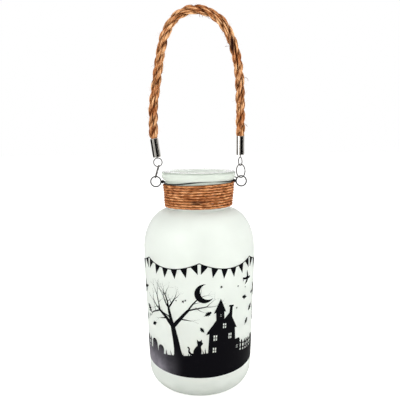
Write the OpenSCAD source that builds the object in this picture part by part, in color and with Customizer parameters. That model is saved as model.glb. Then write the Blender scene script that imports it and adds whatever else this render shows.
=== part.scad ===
// Frosted glass jar lantern with a rope handle, and a battery tea light standing inside.
// Millimetres. +Z is up, -Y is the front, and the origin is the centre of the foot.

/* [Jar] */
// Outer diameter of the jar at its widest, just under the shoulder
jar_d = 100; // [92:0.5:120]
// Outer diameter of the body where it meets the heel
heel_d = 94.2; // [88:0.2:110]
// Height of the jar, from the foot to the top of the rim
jar_h = 198.4; // [170:0.2:240]
// Radius of the rounded heel
heel_r = 20; // [12:1:24]
// Height of the shoulder's curve
shoulder_h = 35; // [28:1:45]
// Height from the jar's widest place up to the shoulder's curve
widest_drop = 18; // [10:1:30]
// Height of the neck and rim above the shoulder
neck_h = 33.4; // [28:0.2:42]
// Bore of the mouth
mouth_d = 50; // [44:0.5:54]
// Glass thickness at the foot of the neck
neck_t = 2.8; // [2.2:0.1:3.4]
// How far the neck's radius widens on its way up to the rim
neck_flare = 1.8; // [1:0.1:2.4]
// How far the rim stands out from the neck
rim_out = 3.1; // [2:0.1:4]
// Height of the rim's band
rim_h = 7.2; // [5:0.2:9]
// Thickness of the glass in the wall and shoulder
wall_t = 3; // [2:0.1:4]
// Thickness of the glass floor
floor_t = 5; // [3:0.5:8]
// Depth of the hollow under the foot
punt_h = 1.5; // [0.5:0.1:2.5]
// Width of the flat ring that the jar stands on
foot_w = 3; // [1.5:0.5:5]

/* [Neck trim] */
// Diameter of the twine wound around the neck
twine_d = 2.5; // [2:0.1:3.2]
// Height that one turn of the tightly wound twine takes up
twine_pitch = 2.38; // [1.8:0.02:2.4]
// Diameter of the steel wire under the rim
wire_d = 1.1; // [0.8:0.1:1.4]
// Slope of the wire ring, which sits higher on the right, in degrees
wire_slope = 1.2; // [0:0.1:1.6]
// Outer diameter of the wire's eyes
wire_eye_d = 10.2; // [9.4:0.1:11.4]
// How far each eye's centre stands out from the side of the rim
eye_out = 5.5; // [5:0.1:8]

/* [Handle fittings] */
// Outer diameter of the jump rings
jump_d = 12.9; // [12:0.1:14]
// Wire of the jump rings
jump_wire_d = 1; // [0.8:0.05:1.1]
// Width of the cut in each jump ring
jump_cut = 0.4; // [0.2:0.1:1]
// Outer diameter of the eye at the foot of each eye pin
pin_eye_d = 8.4; // [8:0.1:9.4]
// Wire of the eye pins
pin_wire_d = 0.9; // [0.7:0.05:1]
// Outer diameter of the ferrules
ferrule_d = 7.2; // [6.6:0.1:8.2]
// Length of the ferrules
ferrule_l = 16.5; // [12:0.5:18]
// Wall of the ferrules
ferrule_t = 0.5; // [0.3:0.05:0.6]
// Diameter of the handle's rope
rope_d = 8.4; // [7.6:0.1:9]
// Height of the rope's arch above the line that the handle swings on
handle_h = 141; // [110:1:170]

/* [Tea light] */
// Diameter of the tea light
candle_d = 37.5; // [36:0.5:42]
// Height of the tea light's shell
candle_h = 20; // [18:0.5:28]
// Wall of the shell
shell_t = 1.2; // [0.8:0.1:1.6]
// Height of the flame above the shell's dish
flame_h = 17; // [12:0.5:24]
// Diameter of the flame at its base
flame_d = 10.8; // [9.6:0.2:13]
// Thickness of the base plate
plate_t = 1.6; // [1.2:0.1:2.2]
// Diameter of the coin cell
cell_d = 20; // [16:0.5:20]
// Thickness of the coin cell
cell_h = 3.2; // [1.6:0.1:4]
// Diameter of the light-emitting diode
led_d = 5; // [3:0.1:5]
// Travel of the slide switch
switch_travel = 2; // [1:0.1:2.4]
// Turn of the battery cap from locked to free, in degrees
cap_turn = 35; // [30:1:45]

/* [Clearances] */
// Gap between pieces that hang loose or stand on each other
loose_gap = 0.3; // [0.2:0.05:0.5]
// Gap around a piece that is pushed or turned into its place
fit_gap = 0.1; // [0.05:0.01:0.15]
// Gap at the hooks of the right jump ring, which hangs at a slant
slant_gap = 0.45; // [0.4:0.05:0.6]

/* [Hidden] */
$fn = 64;

// Jar: radii and heights that its profile is drawn from
arc_steps = 14;
jar_r = jar_d / 2;
mouth_r = mouth_d / 2;
neck_foot_r = mouth_r + neck_t;
neck_top_r = neck_foot_r + neck_flare;
rim_r = neck_top_r + rim_out;
rim_round = 1.5;
neck_foot_z = jar_h - neck_h;
rim_foot_z = jar_h - rim_h;
neck_top_z = rim_foot_z - 1;
shoulder_z = neck_foot_z - shoulder_h;
shoulder_x = mouth_r + 1;
widest_z = shoulder_z - widest_drop;
heel_x = heel_d / 2 - heel_r;

// The neck's outer radius at a height
function neck_r(z) = neck_foot_r + neck_flare * (z - neck_foot_z) / (neck_top_z - neck_foot_z);

// Points of an elliptical arc from angle a0 to a1, in degrees
function arc(x, z, rx, rz, a0, a1, steps = arc_steps) =
    [for (i = [0:steps]) let (a = a0 + (a1 - a0) * i / steps) [x + rx * cos(a), z + rz * sin(a)]];

// Twine: whole turns between the shoulder and the wire
twine_foot_z = neck_foot_z + 1;
wire_room = 3.6;
twine_turns = floor((rim_foot_z - wire_room - twine_foot_z) / twine_pitch);
twine_top_z = twine_foot_z + twine_turns * twine_pitch;

// Wire: a ring around the neck, with an eye on a twisted stem at each side
wire_z = twine_top_z + 1.5;
wire_rise = neck_top_r * sin(wire_slope);
wire_ring_r = neck_r(wire_z + wire_rise) + wire_d / 2 + fit_gap;
wire_eye_r = (wire_eye_d - wire_d) / 2;
eye_x = rim_r + eye_out;
stem_d = 1.9 * wire_d;
knot_count = 2;
right_eye_turn = -10;

// Handle: it swings on the tops of the wire's eyes, and folds on the tops of the jump rings.
// Each hanging side is [sign of x, lean of its ring, turn of its ring, gap at its hooks,
// turn of its eye pin, lean of its ferrule, stem that shows below its ferrule].
LEFT = [-1, 17, 90, loose_gap, 0, 8, 0.3];
RIGHT = [1, 6, 46, slant_gap, 110, 0, 1.6];
jump_r = (jump_d - jump_wire_d) / 2;
pin_eye_r = (pin_eye_d - pin_wire_d) / 2;
swing_z = wire_z + wire_eye_r;
pin_head_d = 2.4;
pin_head_h = 0.8;

// Distance from the swing line to a jump ring's centre, and on to the pin's hook
function ring_rise(s) = jump_r - (wire_d + jump_wire_d) / 2 - s[3];
function hook_rise(s) = ring_rise(s) + jump_r - (pin_wire_d + jump_wire_d) / 2 - s[3];
function along(s, d) = [s[0] * (eye_x - d * sin(s[1])), 0, swing_z + d * cos(s[1])];
function pin_place(s) = along(s, hook_rise(s)) + pin_eye_r * [s[0] * sin(s[5]), 0, cos(s[5])];

// Ferrule: measured along its own axis from the pin's eye
ferrule_end_t = 0.8;
ferrule_round = 0.3;
function ferrule_foot(s) = pin_eye_d / 2 + s[6];
bore_r = ferrule_d / 2 - ferrule_t;

// Rope: its middle line from one ferrule to the other, as [x, z] above the swing line.
// The arch is given in shares of eye_x and handle_h, and both ends follow their ferrules.
rope_sides = 12;
rope_swell = 1.6;
arch = [[-1.029, 0.333], [-1.01, 0.454], [-0.948, 0.56], [-0.88, 0.674], [-0.798, 0.787],
        [-0.694, 0.872], [-0.524, 0.943], [-0.288, 0.989], [0, 1], [0.288, 0.982],
        [0.524, 0.936], [0.707, 0.865], [0.825, 0.78], [0.916, 0.681], [0.958, 0.567],
        [0.969, 0.454], [0.974, 0.348]];
function rope_end(s, up) =
    let (p = pin_place(s) + (ferrule_foot(s) + up) * [s[0] * sin(s[5]), 0, cos(s[5])])
    [p[0], p[2] - swing_z];
rope_from = ferrule_end_t + pin_head_h + fit_gap + loose_gap;
rope_points = concat(
    [for (up = [rope_from, ferrule_l, ferrule_l + rope_swell]) rope_end(LEFT, up)],
    [for (p = arch) [p[0] * eye_x, p[1] * handle_h]],
    [for (up = [ferrule_l + rope_swell, ferrule_l, rope_from]) rope_end(RIGHT, up)]);
rope_last = len(rope_points) - 1;
rope_end_r = bore_r - fit_gap;

// The rope is pressed thin where its first and last two points lie inside the ferrules
function rope_r(i) = (i < 2 || i > rope_last - 2) ? rope_end_r : rope_d / 2;
function rope_heading(i) =
    let (d = rope_points[min(i + 1, rope_last)] - rope_points[max(i - 1, 0)]) atan2(d[1], d[0]);
function rope_ring(i) =
    [for (k = [0:rope_sides - 1])
        let (a = 360 * k / rope_sides, h = rope_heading(i), out = rope_r(i) * cos(a))
        [rope_points[i][0] - out * sin(h), rope_r(i) * sin(a), rope_points[i][1] + out * cos(h)]];

// Tea light: heights are measured from the underside of its base plate
candle_z = floor_t + loose_gap;
shell_r = candle_d / 2;
dish_h = 2.4;
dish_r = flame_d / 2 + 2.4;
flame_hole_r = flame_d / 2 + 2 * fit_gap;
flame_wall = 1.1;
flame_flange = 1.4;
cell_x = -4;
cap_t = 1.2;
cap_z = 0.2;
cap_r = cell_d / 2 + 1.3;
lug_out = 1.5;
lug_w = 24;
lug_z = plate_t + 1.5 * fit_gap;
lug_t = 0.85;
lug_r = cap_r + lug_out;
cell_z = cap_z + cap_t + fit_gap;
cell_top = cell_z + cell_h;
holder_in_r = cell_d / 2 + loose_gap;
holder_r = holder_in_r + 2.3;
holder_z = lug_z + lug_t + 0.6;
contact_t = 0.3;
contact_w = 3;
roof_z = cell_top + fit_gap + contact_t + fit_gap;
roof_t = 1;
post_r = 1.3;
post_place = lug_r + post_r + loose_gap;
post_angles = [-75, -28, 28, 75];
lead_d = 0.5;
lead_gap = 2.54;
led_z = candle_h - dish_h - shell_t - 1.4;
led_h = 5.6;
switch_x = 13;
switch_w = 4;
switch_l = 9;
switch_h = 4;
knob_w = 1.6;
knob_l = 2;
knob_foot = 2.6;
slot_w = knob_w + 4 * fit_gap;
slot_l = knob_foot + switch_travel + 2 * loose_gap;
knob_y = -switch_travel / 2;
wire_core_d = 1;

// A closed ring of round wire around the Z axis, with an optional cut facing +X
module wire_ring(r, d, cut = 0) {
    gap = cut * 180 / (PI * r);
    rotate([0, 0, gap / 2])
        rotate_extrude(angle = 360 - gap)
            translate([r, 0])
                circle(d = d, $fn = 24);
}

// Stands a flat ring up in the XZ plane
module upright() rotate([90, 0, 0]) children();

// Moves a piece to the centre of a side's pin eye, and leans it with the ferrule
module at_pin(s) translate(pin_place(s)) rotate([0, s[0] * s[5], 0]) children();

// Moves a piece from the tea light's own place to where it stands in the jar
module in_candle() translate([0, 0, candle_z]) children();

module glass_jar() {
    outside = concat(
        [[0, punt_h], [heel_x - foot_w - 2 * punt_h, punt_h], [heel_x - foot_w, 0]],
        arc(heel_x, heel_r, heel_r, heel_r, -90, 0),
        [[jar_r, widest_z]],
        arc(shoulder_x, shoulder_z, jar_r - shoulder_x, shoulder_h, 0,
            acos((neck_foot_r - shoulder_x) / (jar_r - shoulder_x))),
        [[neck_top_r, neck_top_z], [rim_r - 0.5, neck_top_z + 2], [rim_r, neck_top_z + 3.6]],
        arc(rim_r - rim_round, jar_h - rim_round, rim_round, rim_round, 0, 90, 5));
    inside = concat(
        arc(mouth_r + rim_round, jar_h - rim_round, rim_round, rim_round, 90, 180, 5),
        [[mouth_r, shoulder_z + shoulder_h]],
        arc(shoulder_x, shoulder_z, jar_r - wall_t - shoulder_x, shoulder_h - wall_t, 84, 0),
        [[jar_r - wall_t, widest_z]],
        arc(heel_x, floor_t + heel_r - wall_t, heel_r - wall_t, heel_r - wall_t, 0, -90),
        [[0, floor_t]]);
    color("whitesmoke") rotate_extrude() polygon(concat(outside, inside));
}

module neck_twine() {
    color("peru") rotate_extrude()
        for (i = [0:twine_turns - 1]) {
            z = twine_foot_z + (i + 0.5) * twine_pitch;
            translate([neck_r(z) + twine_d / 2 + fit_gap, z]) circle(d = twine_d, $fn = 24);
        }
}

module neck_wire() {
    color("dimgray") {
        translate([0, 0, wire_z])
            rotate([0, -wire_slope, 0])
                wire_ring(wire_ring_r, wire_d);
        for (side = [-1, 1]) {
            turn = side > 0 ? right_eye_turn : 0;
            stem_x = wire_ring_r - wire_d / 2;
            stem_l = eye_x - wire_eye_r - stem_x;
            translate([side * eye_x, 0, wire_z])
                rotate([0, 0, turn])
                    upright() wire_ring(wire_eye_r, wire_d);
            translate([side * stem_x, 0, wire_z])
                rotate([0, side * 90, 0]) {
                    cylinder(d = stem_d, h = stem_l);
                    for (k = [1:knot_count])
                        translate([0, 0, stem_l - k * wire_d])
                            wire_ring(stem_d / 2, wire_d * 0.9);
                }
        }
    }
}

module jump_ring(s) {
    color("silver")
        translate(along(s, ring_rise(s)))
            rotate([0, -s[0] * s[1], 0])
                rotate([0, 0, s[2]])
                    upright() wire_ring(jump_r, jump_wire_d, jump_cut);
}

module left_jump_ring() jump_ring(LEFT);

module right_jump_ring() jump_ring(RIGHT);

module eye_pin(s) {
    head_z = ferrule_foot(s) + ferrule_end_t + fit_gap;
    color("silver") at_pin(s) {
        rotate([0, 0, s[4]]) upright() wire_ring(pin_eye_r, pin_wire_d);
        translate([0, 0, pin_eye_r]) cylinder(d = pin_wire_d, h = head_z - pin_eye_r + pin_head_h / 2);
        translate([0, 0, head_z]) cylinder(d = pin_head_d, h = pin_head_h);
    }
}

module left_eye_pin() eye_pin(LEFT);

module right_eye_pin() eye_pin(RIGHT);

module ferrule(s) {
    r = ferrule_d / 2;
    hole_r = pin_wire_d / 2 + fit_gap;
    c = ferrule_round;
    color("gainsboro") at_pin(s) translate([0, 0, ferrule_foot(s)])
        rotate_extrude()
            polygon([[hole_r, 0], [r - c, 0], [r, c], [r, ferrule_l - c], [r - c / 2, ferrule_l],
                     [bore_r, ferrule_l], [bore_r, ferrule_end_t], [hole_r, ferrule_end_t]]);
}

module left_ferrule() ferrule(LEFT);

module right_ferrule() ferrule(RIGHT);

module rope_handle() {
    n = rope_sides;
    walls = [for (i = [0:rope_last - 1], k = [0:n - 1])
        [i * n + k, i * n + (k + 1) % n, (i + 1) * n + (k + 1) % n, (i + 1) * n + k]];
    first = [for (k = [n - 1:-1:0]) k];
    last = [for (k = [0:n - 1]) rope_last * n + k];
    color("burlywood") translate([0, 0, swing_z])
        polyhedron(points = [for (i = [0:rope_last]) each rope_ring(i)],
                   faces = concat([first], walls, [last]));
}

module candle_shell() {
    r = shell_r;
    h = candle_h;
    t = shell_t;
    color("ivory") in_candle() rotate_extrude()
        polygon([[r, 0], [r, h - 1.4], [r - 0.4, h - 0.4], [r - 1.4, h], [r - 2.8, h - 0.5],
                 [dish_r, h - dish_h], [flame_hole_r, h - dish_h], [flame_hole_r, h - dish_h - t],
                 [dish_r, h - dish_h - t], [r - 2.8, h - 0.5 - t], [r - t, h - 2.2], [r - t, 0]]);
}

module candle_flame() {
    r = flame_d / 2;
    w = flame_wall;
    foot = candle_h - dish_h - shell_t - fit_gap - 1;
    dish = candle_h - dish_h;
    color("lemonchiffon") in_candle() rotate_extrude()
        polygon([[r - w, foot], [r + flame_flange, foot], [r + flame_flange, foot + 1], [r, foot + 1],
                 [r, dish + 0.15 * flame_h], [r * 0.96, dish + 0.3 * flame_h],
                 [r * 0.8, dish + 0.5 * flame_h], [r * 0.55, dish + 0.7 * flame_h],
                 [r * 0.25, dish + 0.9 * flame_h], [0, dish + flame_h],
                 [0, dish + 0.62 * flame_h], [r * 0.3, dish + 0.56 * flame_h],
                 [r - w, dish + 0.3 * flame_h]]);
}

module flame_led() {
    color("white") in_candle() {
        translate([0, 0, led_z]) cylinder(d = led_d + 0.8, h = 1);
        translate([0, 0, led_z]) cylinder(d = led_d, h = led_h);
        translate([0, 0, led_z + led_h]) sphere(d = led_d);
        for (lead = [[-1, roof_z - fit_gap / 2], [1, roof_z + roof_t + fit_gap]])
            translate([lead[0] * lead_gap / 2, 0, lead[1]])
                cylinder(d = lead_d, h = led_z - lead[1]);
    }
}

module base_plate() {
    color("ivory") in_candle() difference() {
        cylinder(r = shell_r - shell_t - 2 * fit_gap, h = plate_t);
        translate([cell_x, 0, -1]) {
            cylinder(r = cap_r + 2 * fit_gap, h = plate_t + 2);
            for (side = [90, 270])
                rotate([0, 0, side + cap_turn - lug_w / 2 - 2])
                    rotate_extrude(angle = lug_w + 4)
                        square([lug_r + loose_gap, plate_t + 2]);
        }
        translate([switch_x - slot_w / 2, -slot_l / 2, -1]) cube([slot_w, slot_l, plate_t + 2]);
    }
}

module cell_holder() {
    color("white") in_candle() translate([cell_x, 0, 0]) {
        difference() {
            translate([0, 0, holder_z]) cylinder(r = holder_r, h = roof_z + roof_t - holder_z);
            translate([0, 0, holder_z - 1]) cylinder(r = holder_in_r, h = roof_z - holder_z + 1);
            translate([-lead_gap / 2 - cell_x, 0, 0])
                cylinder(d = lead_d + 4 * fit_gap, h = roof_z + 2 * roof_t);
            translate([holder_in_r - 1, -contact_w / 2 - 0.5, holder_z - 1])
                cube([1.5, contact_w + 1, roof_z - holder_z + 1]);
        }
        for (a = post_angles)
            rotate([0, 0, a]) {
                translate([post_place, 0, plate_t]) cylinder(r = post_r, h = roof_z + roof_t - plate_t);
                translate([holder_r - 0.5, -post_r / 2, roof_z])
                    cube([post_place - holder_r + 0.5, post_r, roof_t]);
            }
    }
}

module coin_cell() {
    rim = 0.25;
    color("silver") in_candle() translate([cell_x, 0, cell_z]) {
        cylinder(d = cell_d, h = cell_h - rim);
        cylinder(d = cell_d - 2, h = cell_h);
    }
}

module spring_contact() {
    color("gold") in_candle() translate([-lead_gap, -contact_w / 2, cell_top + fit_gap])
        cube([lead_gap - lead_d, contact_w, contact_t]);
}

module side_contact() {
    face_x = cell_x + cell_d / 2 + fit_gap;
    end_x = switch_x - switch_w / 2 - fit_gap;
    foot_z = holder_z - fit_gap - contact_t;
    color("gold") in_candle() {
        translate([face_x, -contact_w / 2, foot_z])
            cube([contact_t * 0.6, contact_w, cell_top - foot_z - contact_t]);
        translate([face_x, -contact_w / 2, foot_z]) cube([end_x - face_x, contact_w, contact_t]);
    }
}

module slide_switch() {
    color("darkslategray") in_candle()
        translate([switch_x, 0, plate_t + fit_gap]) difference() {
            translate([-switch_w / 2, -switch_l / 2, 0]) cube([switch_w, switch_l, switch_h]);
            translate([-slot_w / 2 - fit_gap, -slot_l / 2, -1]) cube([slot_w + 2 * fit_gap, slot_l, 3]);
        }
}

module switch_knob() {
    foot_z = plate_t + fit_gap + 0.4;
    color("black") in_candle() translate([switch_x, knob_y, 0]) {
        translate([-knob_w / 2, -knob_l / 2, 0.35]) cube([knob_w, knob_l, foot_z]);
        translate([-knob_w / 2 - fit_gap, -knob_foot / 2, foot_z]) cube([knob_w + 2 * fit_gap, knob_foot, 1.2]);
    }
}

module switch_wire() {
    top_z = roof_z + roof_t + wire_core_d / 2 + fit_gap;
    bend_x = lead_gap / 2 + lead_d / 2 + wire_core_d / 2 + fit_gap;
    far_x = switch_x - 0.6;
    far_z = plate_t + switch_h + wire_core_d / 2 + 2 * fit_gap;
    run = [[bend_x, 0, top_z + 1.5], [bend_x, 0, top_z], [8.5, 0, top_z], [far_x, 0, max(top_z, far_z)]];
    color("firebrick") in_candle()
        for (i = [0:len(run) - 2])
            segment(run[i], run[i + 1], wire_core_d);
}

// A round bar from one point to another, with a ball at each end
module segment(a, b, d) {
    v = b - a;
    translate(a) sphere(d = d, $fn = 24);
    translate(b) sphere(d = d, $fn = 24);
    translate(a)
        rotate([0, acos(v[2] / norm(v)), atan2(v[1], v[0])])
            cylinder(d = d, h = norm(v), $fn = 24);
}

module battery_cap() {
    coin_slot = [0.6 * cell_d, 1.6, cap_t / 2];
    color("ivory") in_candle() translate([cell_x, 0, 0]) {
        difference() {
            translate([0, 0, cap_z]) cylinder(r = cap_r, h = cap_t);
            translate([-coin_slot[0] / 2, -coin_slot[1] / 2, cap_z - 1])
                cube([coin_slot[0], coin_slot[1], coin_slot[2] + 1]);
        }
        for (side = [90, 270])
            rotate([0, 0, side - lug_w / 2])
                rotate_extrude(angle = lug_w)
                    polygon([[cell_d / 2 + 0.2, cap_z + cap_t - 0.2], [cap_r, cap_z + cap_t - 0.2],
                             [cap_r, lug_z], [lug_r, lug_z], [lug_r, lug_z + lug_t],
                             [cell_d / 2 + 0.2, lug_z + lug_t]]);
    }
}

glass_jar();
neck_twine();
neck_wire();
left_jump_ring();
right_jump_ring();
left_eye_pin();
right_eye_pin();
left_ferrule();
right_ferrule();
rope_handle();
candle_shell();
candle_flame();
flame_led();
base_plate();
cell_holder();
coin_cell();
spring_contact();
side_contact();
slide_switch();
switch_knob();
switch_wire();
battery_cap();
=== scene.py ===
"""Frosted glass jar lantern: rope handle, twine collar, screen print, fittings and tea light.

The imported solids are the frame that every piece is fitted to. Meshes and the stage are in metres,
and all that is typed of the lantern itself is in millimetres. +Z is up, -Y is the front, and the
foot stands at the origin.
"""
import math
import random

import bpy
from mathutils import Matrix, Vector


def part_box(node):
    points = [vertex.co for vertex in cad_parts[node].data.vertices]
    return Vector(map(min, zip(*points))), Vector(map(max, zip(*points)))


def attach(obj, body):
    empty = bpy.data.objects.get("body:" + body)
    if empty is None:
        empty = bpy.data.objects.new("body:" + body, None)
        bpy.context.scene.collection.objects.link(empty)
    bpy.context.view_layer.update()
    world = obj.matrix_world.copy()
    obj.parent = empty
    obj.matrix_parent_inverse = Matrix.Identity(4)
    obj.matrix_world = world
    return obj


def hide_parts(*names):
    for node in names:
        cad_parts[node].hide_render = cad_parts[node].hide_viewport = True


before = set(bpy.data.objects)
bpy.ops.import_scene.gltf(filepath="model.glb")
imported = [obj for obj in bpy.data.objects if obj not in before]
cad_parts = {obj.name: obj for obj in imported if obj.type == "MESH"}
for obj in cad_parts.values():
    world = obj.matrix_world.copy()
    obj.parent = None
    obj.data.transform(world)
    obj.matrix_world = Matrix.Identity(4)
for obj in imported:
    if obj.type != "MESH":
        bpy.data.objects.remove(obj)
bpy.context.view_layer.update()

bl_info = {
    "name": "Jar Lantern",
    "version": (1, 0, 0),
    "blender": (4, 5, 0),
    "location": "3D View > Sidebar > Lantern",
    "description": "Builds a frosted jar lantern around its solid frame",
    "category": "Object",
}

MM = 0.001


# ---------------------------------------------------------------- colours and node helpers

def linear(hex_colour):
    """An sRGB hex colour as linear red, green and blue."""
    def channel(value):
        return value / 12.92 if value <= 0.04045 else ((value + 0.055) / 1.055) ** 2.4
    return tuple(channel(int(hex_colour[i:i + 2], 16) / 255) for i in (1, 3, 5))


def darker(colour, share):
    """A linear colour at a share of its brightness."""
    return tuple(channel * share for channel in colour)


def add_node(tree, kind, inputs=None, output=0, stops=(), **settings):
    """Adds one node and returns one of its outputs. An input is a plain value, or another node's
    output for a link. The stops of a colour ramp are (place, linear colour)."""
    node = tree.nodes.new("ShaderNode" + kind)
    for key, value in settings.items():
        setattr(node, key, value)
    for key, value in (inputs or {}).items():
        socket = node.inputs[key]
        if isinstance(value, bpy.types.NodeSocket):
            tree.links.new(value, socket)
        else:
            socket.default_value = (*value, 1.0) if socket.type == "RGBA" else value
    for order, (place, shade) in enumerate(stops):
        if order >= len(node.color_ramp.elements):
            node.color_ramp.elements.new(1.0)
        element = node.color_ramp.elements[order]
        element.position = place
        element.color = (*shade, 1.0)
    return node.outputs[output] if node.outputs else None


# Where a Mix node takes the two colours that it mixes, and where it gives the mix.
UNDER, OVER = 6, 7
COLOUR_MIX = {"data_type": "RGBA", "output": 2}


def new_material(name):
    """An empty material with its node tree, and the surface's own Object coordinates."""
    material = bpy.data.materials.new(name)
    material.use_nodes = True
    tree = material.node_tree
    tree.nodes.clear()
    return material, tree, add_node(tree, "TexCoord", output="Object")


def blobs(tree, place, size_mm, detail=2.0, grit=0.5, stretch=(1, 1, 1)):
    """A pattern of soft blobs about size_mm across. They are stretched along X, Y and Z where
    stretch is below 1, and squeezed where it is above."""
    scaled = add_node(tree, "Mapping", {"Vector": place, "Scale": stretch})
    return add_node(tree, "TexNoise", {"Vector": scaled, "Scale": 1 / (size_mm * MM),
                                       "Detail": detail, "Roughness": grit})


def finish_material(material, tree, inputs, relief=None):
    """Closes a material with a Principled shader; its relief is (height, depth in millimetres,
    strength)."""
    if relief:
        height, depth_mm, strength = relief
        inputs["Normal"] = add_node(tree, "Bump", {"Height": height, "Distance": depth_mm * MM,
                                                   "Strength": strength})
    shader = add_node(tree, "BsdfPrincipled", inputs)
    add_node(tree, "OutputMaterial", {"Surface": shader})
    return material


# ---------------------------------------------------------------- settings

def size(label, text, default, low, high):
    """A length setting: given in millimetres, kept in metres."""
    return bpy.props.FloatProperty(name=label, description=text, default=default * MM,
                                   min=low * MM, max=high * MM, unit="LENGTH", precision=4)


def number(label, text, default, low, high):
    return bpy.props.IntProperty(name=label, description=text, default=default, min=low, max=high)


def colour(label, text, hex_default):
    return bpy.props.FloatVectorProperty(name=label, description=text, subtype="COLOR", size=3,
                                         min=0, max=1, default=linear(hex_default))


class LanternSizes(bpy.types.PropertyGroup):
    """Sizes and counts."""
    rope_d: size("Rope", "Diameter of the handle's rope", 8.4, 6, 10)
    rope_lay: size("Rope lay", "Length of one full twist of the rope", 31, 20, 45)
    rope_yarns: number("Yarns", "Yarns in each strand of the rope", 5, 3, 7)
    rope_fibres: number("Rope fibres", "Loose fibres on the rope", 260, 0, 800)
    twine_d: size("Twine", "Diameter of the twine around the neck", 2.5, 1.5, 3.5)
    twine_lay: size("Twine lay", "Length of one full twist of the twine", 16, 4, 30)
    twine_pitch: size("Twine pitch", "Height of one turn of twine", 2.3, 1.8, 3)
    twine_fibres: number("Twine fibres", "Loose fibres on the twine", 170, 0, 600)
    wire_d: size("Neck wire", "Diameter of the steel wire under the rim", 1.1, 0.6, 1.6)
    ink: size("Ink", "Thickness of the screen print", 0.1, 0.05, 0.3)
    print_foot: size("Print foot", "Height of the print's lower edge", 24.3, 20, 40)


class LanternColours(bpy.types.PropertyGroup):
    """Base colours of the finishes."""
    glass: colour("Glass", "Acid-etched glass", "#F8FCF7")
    ink: colour("Ink", "Screen print", "#07060A")
    jute_light: colour("Jute, light", "Clean jute fibre", "#F2C697")
    jute_mid: colour("Jute, middle", "Jute fibre in the middle of its range", "#BA7E4C")
    # Dark jute: the darkest fibre in the streaks, and the painted shade between strands and turns.
    jute_dark: colour("Jute, dark", "Jute fibre deep between strands", "#4A220A")
    wire: colour("Neck wire", "Dark annealed steel", "#252324")
    nickel: colour("Nickel", "Nickel plate on the ferrules", "#C2BFB9")
    candle: colour("Candle", "Ivory plastic of the tea light", "#E4DCC4")
    floor: colour("Floor", "Floor under the lantern", "#FAFAF8")


# ---------------------------------------------------------------- mesh helpers

def box_high(node):
    """The high corner of a solid's box, in metres."""
    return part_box(node)[1]


def select_only(obj):
    """Makes obj the one selected and active object."""
    bpy.ops.object.select_all(action="DESELECT")
    obj.select_set(True)
    bpy.context.view_layer.objects.active = obj


def link(name, data):
    """A new object for some data, in the scene."""
    obj = bpy.data.objects.new(name, data)
    bpy.context.scene.collection.objects.link(obj)
    return obj


def dress(obj, material):
    """Gives obj one material."""
    obj.data.materials.clear()
    obj.data.materials.append(material)


def smooth_by_angle(obj, degrees):
    select_only(obj)
    bpy.ops.object.shade_smooth_by_angle(angle=math.radians(degrees))


def close_shell(obj):
    """Merges doubles and turns all faces outwards."""
    select_only(obj)
    bpy.ops.object.mode_set(mode="EDIT")
    bpy.ops.mesh.select_all(action="SELECT")
    bpy.ops.mesh.remove_doubles(threshold=0.001 * MM)
    bpy.ops.mesh.normals_make_consistent(inside=False)
    bpy.ops.object.mode_set(mode="OBJECT")


def arc(x, z, rx, rz, start, end, steps):
    """Points of an elliptical arc, with its angles in degrees."""
    angles = [math.radians(start + (end - start) * i / steps) for i in range(steps + 1)]
    return [(x + rx * math.cos(a), z + rz * math.sin(a)) for a in angles]


def lathe(name, outline, steps):
    """Turns an outline of (radius, height) in millimetres about the Z axis."""
    data = bpy.data.curves.new(name, "CURVE")
    data.dimensions = "3D"
    spline = data.splines.new("POLY")
    spline.points.add(len(outline) - 1)
    for point, (radius, height) in zip(spline.points, outline):
        point.co = (radius * MM, 0, height * MM, 1)
    obj = link(name, data)
    select_only(obj)
    bpy.ops.object.convert(target="MESH")
    bpy.ops.object.mode_set(mode="EDIT")
    bpy.ops.mesh.select_all(action="SELECT")
    bpy.ops.mesh.spin(steps=steps, angle=2 * math.pi, center=(0, 0, 0), axis=(0, 0, 1))
    bpy.ops.object.mode_set(mode="OBJECT")
    close_shell(obj)
    return obj


def spline_points(points, spacing):
    """A smooth curve through the points (Catmull-Rom), sampled about every spacing."""
    padded = [points[0] * 2 - points[1], *points, points[-1] * 2 - points[-2]]
    dense = []
    for p0, p1, p2, p3 in zip(padded, padded[1:], padded[2:], padded[3:]):
        count = max(1, math.ceil((p2 - p1).length / (spacing / 4)))
        for i in range(count):
            t = i / count
            dense.append(0.5 * (2 * p1 + (p2 - p0) * t + (2 * p0 - 5 * p1 + 4 * p2 - p3) * t * t
                                + (3 * p1 - p0 - 3 * p2 + p3) * t ** 3))
    dense.append(points[-1].copy())
    runs = [0.0]
    for a, b in zip(dense, dense[1:]):
        runs.append(runs[-1] + (b - a).length)
    count = max(2, round(runs[-1] / spacing))
    even, j = [], 0
    for i in range(count + 1):
        want = runs[-1] * i / count
        while j < len(dense) - 2 and runs[j + 1] < want:
            j += 1
        span = runs[j + 1] - runs[j]
        even.append(dense[j].lerp(dense[j + 1], (want - runs[j]) / span if span else 0))
    return even


def axes_along(path, closed=False):
    """Tangent, side and up vectors that travel along a path without twisting."""
    axes = []
    count = len(path)
    for i, point in enumerate(path):
        before = path[i - 1] if i or closed else point
        after = path[(i + 1) % count] if i + 1 < count or closed else point
        tangent = (after - before).normalized()
        if axes:
            side = axes[-1][1]
        else:
            side = Vector((0, 1, 0)) if abs(tangent.y) < 0.8 else Vector((0, 0, 1))
        side = (side - tangent * side.dot(tangent)).normalized()
        axes.append((tangent, side, tangent.cross(side)))
    return axes


def around(side, up, turn):
    """The direction at an angle from side towards up."""
    return side * math.cos(turn) + up * math.sin(turn)


def uneven(wave, along, phase):
    """A slow rise and fall along something hand-made. The wave is (size, length of a radian)."""
    return wave[0] * math.sin(along / wave[1] + phase)


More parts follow.
